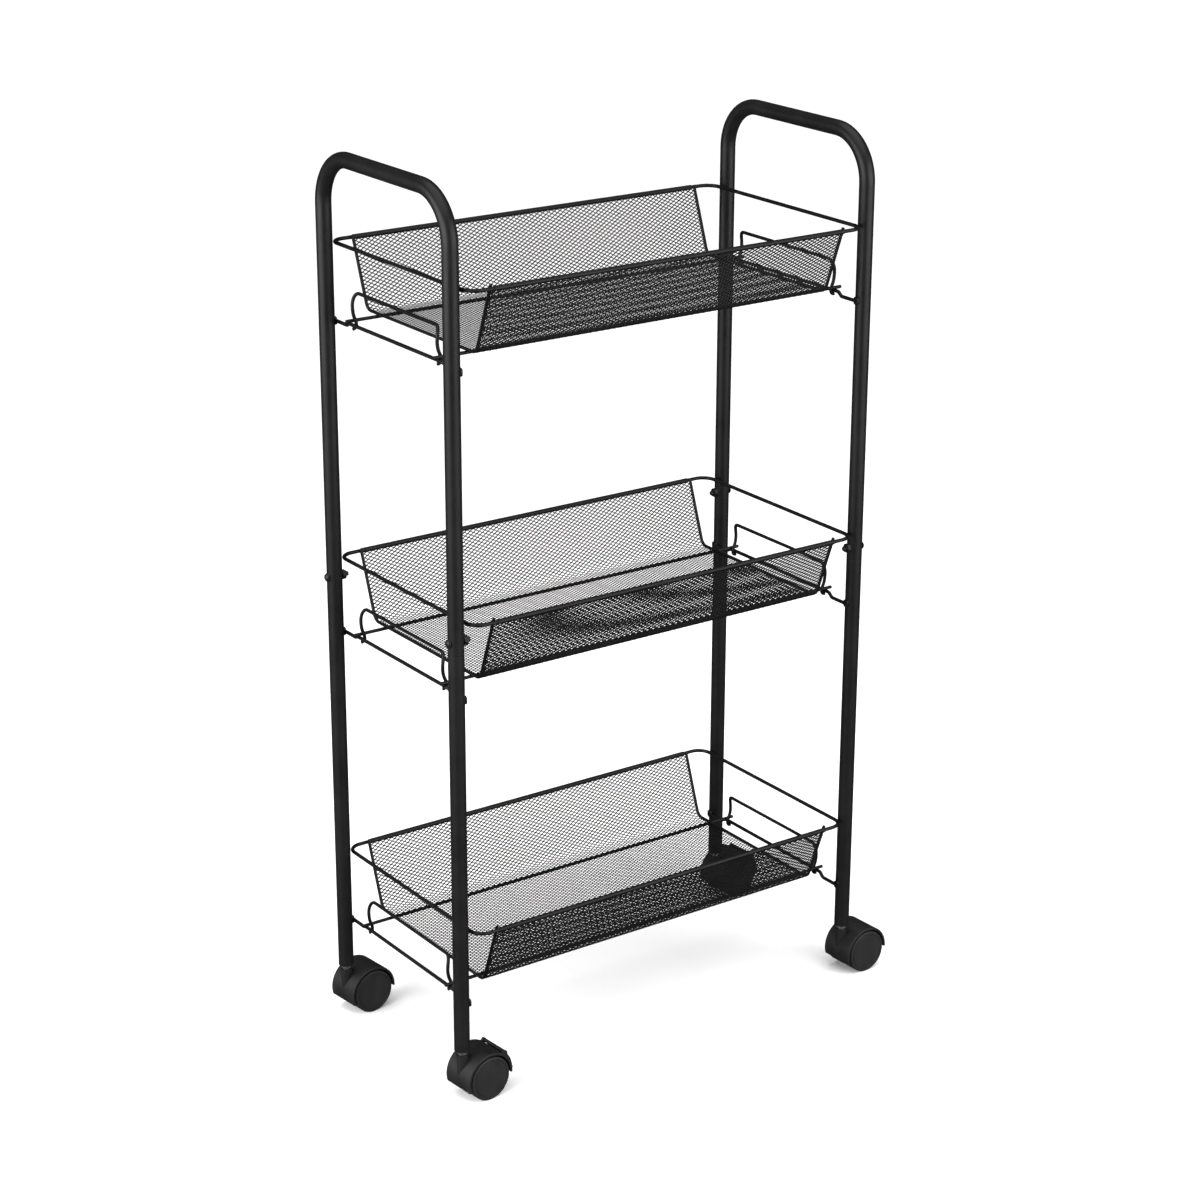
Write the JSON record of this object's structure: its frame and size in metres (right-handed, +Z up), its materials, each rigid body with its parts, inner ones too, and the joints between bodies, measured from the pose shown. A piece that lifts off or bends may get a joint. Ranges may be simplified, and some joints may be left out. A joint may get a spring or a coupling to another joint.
{
  "type": "rolling storage cart",
  "caption": "Narrow rolling cart with bent-tube end frames, mesh trough baskets hung on wire rims and twin-wheel swivel casters.",
  "frame": {"origin": "on the floor under the middle of the overall box; the casters trail toward +X and are turned a few degrees toward +Y, so the middle of the four legs is at -17.5, -1.73 mm", "axes": "+X along the long side, +Y to the back, +Z up"},
  "size_m": [0.4518, 0.2202, 0.7565],
  "materials": {
    "tube_black": "satin powder coat",
    "wire_black": "satin powder coat",
    "mesh_black": "satin powder coat",
    "fastener_black": "black oxide",
    "zinc_steel": "bright zinc plate",
    "socket_plastic": "moulded",
    "caster_plastic": "moulded, fine texture",
    "wheel_plastic": "moulded, satin",
    "lever_plastic": "moulded, satin"
  },
  "bodies": {
    "cart": {"left_upper_frame": "tube_black", "right_upper_frame": "tube_black", "front_left_lower_leg": "tube_black", "front_right_lower_leg": "tube_black", "back_left_lower_leg": "tube_black", "back_right_lower_leg": "tube_black", "left_top_cross_rod": "wire_black", "left_middle_cross_rod": "wire_black", "left_bottom_cross_rod": "wire_black", "right_top_cross_rod": "wire_black", "right_middle_cross_rod": "wire_black", "right_bottom_cross_rod": "wire_black", "joint_bolts": "fastener_black", "joint_nuts": "fastener_black", "caster_sockets": "socket_plastic", "top_rim": "wire_black", "top_mesh": "mesh_black", "top_long_wires": "wire_black", "top_left_edge_wire": "wire_black", "top_left_loop": "wire_black", "top_right_edge_wire": "wire_black", "top_right_loop": "wire_black", "middle_rim": "wire_black", "middle_mesh": "mesh_black", "middle_long_wires": "wire_black", "middle_left_edge_wire": "wire_black", "middle_left_loop": "wire_black", "middle_right_edge_wire": "wire_black", "middle_right_loop": "wire_black", "bottom_rim": "wire_black", "bottom_mesh": "mesh_black", "bottom_long_wires": "wire_black", "bottom_left_edge_wire": "wire_black", "bottom_left_loop": "wire_black", "bottom_right_edge_wire": "wire_black", "bottom_right_loop": "wire_black"},
    "front_left_caster": {"front_left_stem": "zinc_steel", "front_left_hood": "caster_plastic", "front_left_axle": "zinc_steel"},
    "front_left_wheel_a": {"front_left_wheel_a": "wheel_plastic"},
    "front_left_wheel_b": {"front_left_wheel_b": "wheel_plastic"},
    "front_left_brake": {"front_left_brake": "lever_plastic"},
    "front_right_caster": {"front_right_stem": "zinc_steel", "front_right_hood": "caster_plastic", "front_right_axle": "zinc_steel"},
    "front_right_wheel_a": {"front_right_wheel_a": "wheel_plastic"},
    "front_right_wheel_b": {"front_right_wheel_b": "wheel_plastic"},
    "back_left_caster": {"back_left_stem": "zinc_steel", "back_left_hood": "caster_plastic", "back_left_axle": "zinc_steel"},
    "back_left_wheel_a": {"back_left_wheel_a": "wheel_plastic"},
    "back_left_wheel_b": {"back_left_wheel_b": "wheel_plastic"},
    "back_right_caster": {"back_right_stem": "zinc_steel", "back_right_hood": "caster_plastic", "back_right_axle": "zinc_steel"},
    "back_right_wheel_a": {"back_right_wheel_a": "wheel_plastic"},
    "back_right_wheel_b": {"back_right_wheel_b": "wheel_plastic"},
    "back_right_brake": {"back_right_brake": "lever_plastic"}
  },
  "joints": [
    {"name": "front_left_swivel", "type": "hinge", "parent": "cart", "child": "front_left_caster", "pos_m": [-0.217, -0.09423, 0.046], "axis": [0, 0, 1], "continuous": true},
    {"name": "front_left_wheel_a_spin", "type": "hinge", "parent": "front_left_caster", "child": "front_left_wheel_a", "pos_m": [-0.19881, -0.10192, 0.019], "axis": [-0.0819, 0.9966, 0], "continuous": true},
    {"name": "front_left_wheel_b_spin", "type": "hinge", "parent": "front_left_caster", "child": "front_left_wheel_b", "pos_m": [-0.20031, -0.08368, 0.019], "axis": [-0.0819, 0.9966, 0], "continuous": true},
    {"name": "front_left_brake_lift", "type": "hinge", "parent": "front_left_caster", "child": "front_left_brake", "pos_m": [-0.18418, -0.09153, 0.03739], "axis": [0.0819, -0.9966, 0], "range_deg": [0, 15]},
    {"name": "front_right_swivel", "type": "hinge", "parent": "cart", "child": "front_right_caster", "pos_m": [0.182, -0.09423, 0.046], "axis": [0, 0, 1], "continuous": true},
    {"name": "front_right_wheel_a_spin", "type": "hinge", "parent": "front_right_caster", "child": "front_right_wheel_a", "pos_m": [0.1999, -0.10258, 0.019], "axis": [-0.0454, 0.999, 0], "continuous": true},
    {"name": "front_right_wheel_b_spin", "type": "hinge", "parent": "front_right_caster", "child": "front_right_wheel_b", "pos_m": [0.19907, -0.0843, 0.019], "axis": [-0.0454, 0.999, 0], "continuous": true},
    {"name": "back_left_swivel", "type": "hinge", "parent": "cart", "child": "back_left_caster", "pos_m": [-0.217, 0.09077, 0.046], "axis": [0, 0, 1], "continuous": true},
    {"name": "back_left_wheel_a_spin", "type": "hinge", "parent": "back_left_caster", "child": "back_left_wheel_a", "pos_m": [-0.19869, 0.08337, 0.019], "axis": [-0.0976, 0.9952, 0], "continuous": true},
    {"name": "back_left_wheel_b_spin", "type": "hinge", "parent": "back_left_caster", "child": "back_left_wheel_b", "pos_m": [-0.20048, 0.10158, 0.019], "axis": [-0.0976, 0.9952, 0], "continuous": true},
    {"name": "back_right_swivel", "type": "hinge", "parent": "cart", "child": "back_right_caster", "pos_m": [0.182, 0.09077, 0.046], "axis": [0, 0, 1], "continuous": true},
    {"name": "back_right_wheel_a_spin", "type": "hinge", "parent": "back_right_caster", "child": "back_right_wheel_a", "pos_m": [0.2001, 0.08286, 0.019], "axis": [-0.0698, 0.9976, 0], "continuous": true},
    {"name": "back_right_wheel_b_spin", "type": "hinge", "parent": "back_right_caster", "child": "back_right_wheel_b", "pos_m": [0.19882, 0.10112, 0.019], "axis": [-0.0698, 0.9976, 0], "continuous": true},
    {"name": "back_right_brake_lift", "type": "hinge", "parent": "back_right_caster", "child": "back_right_brake", "pos_m": [0.21485, 0.09307, 0.03739], "axis": [0.0698, -0.9976, 0], "range_deg": [0, 15]}
  ]
}
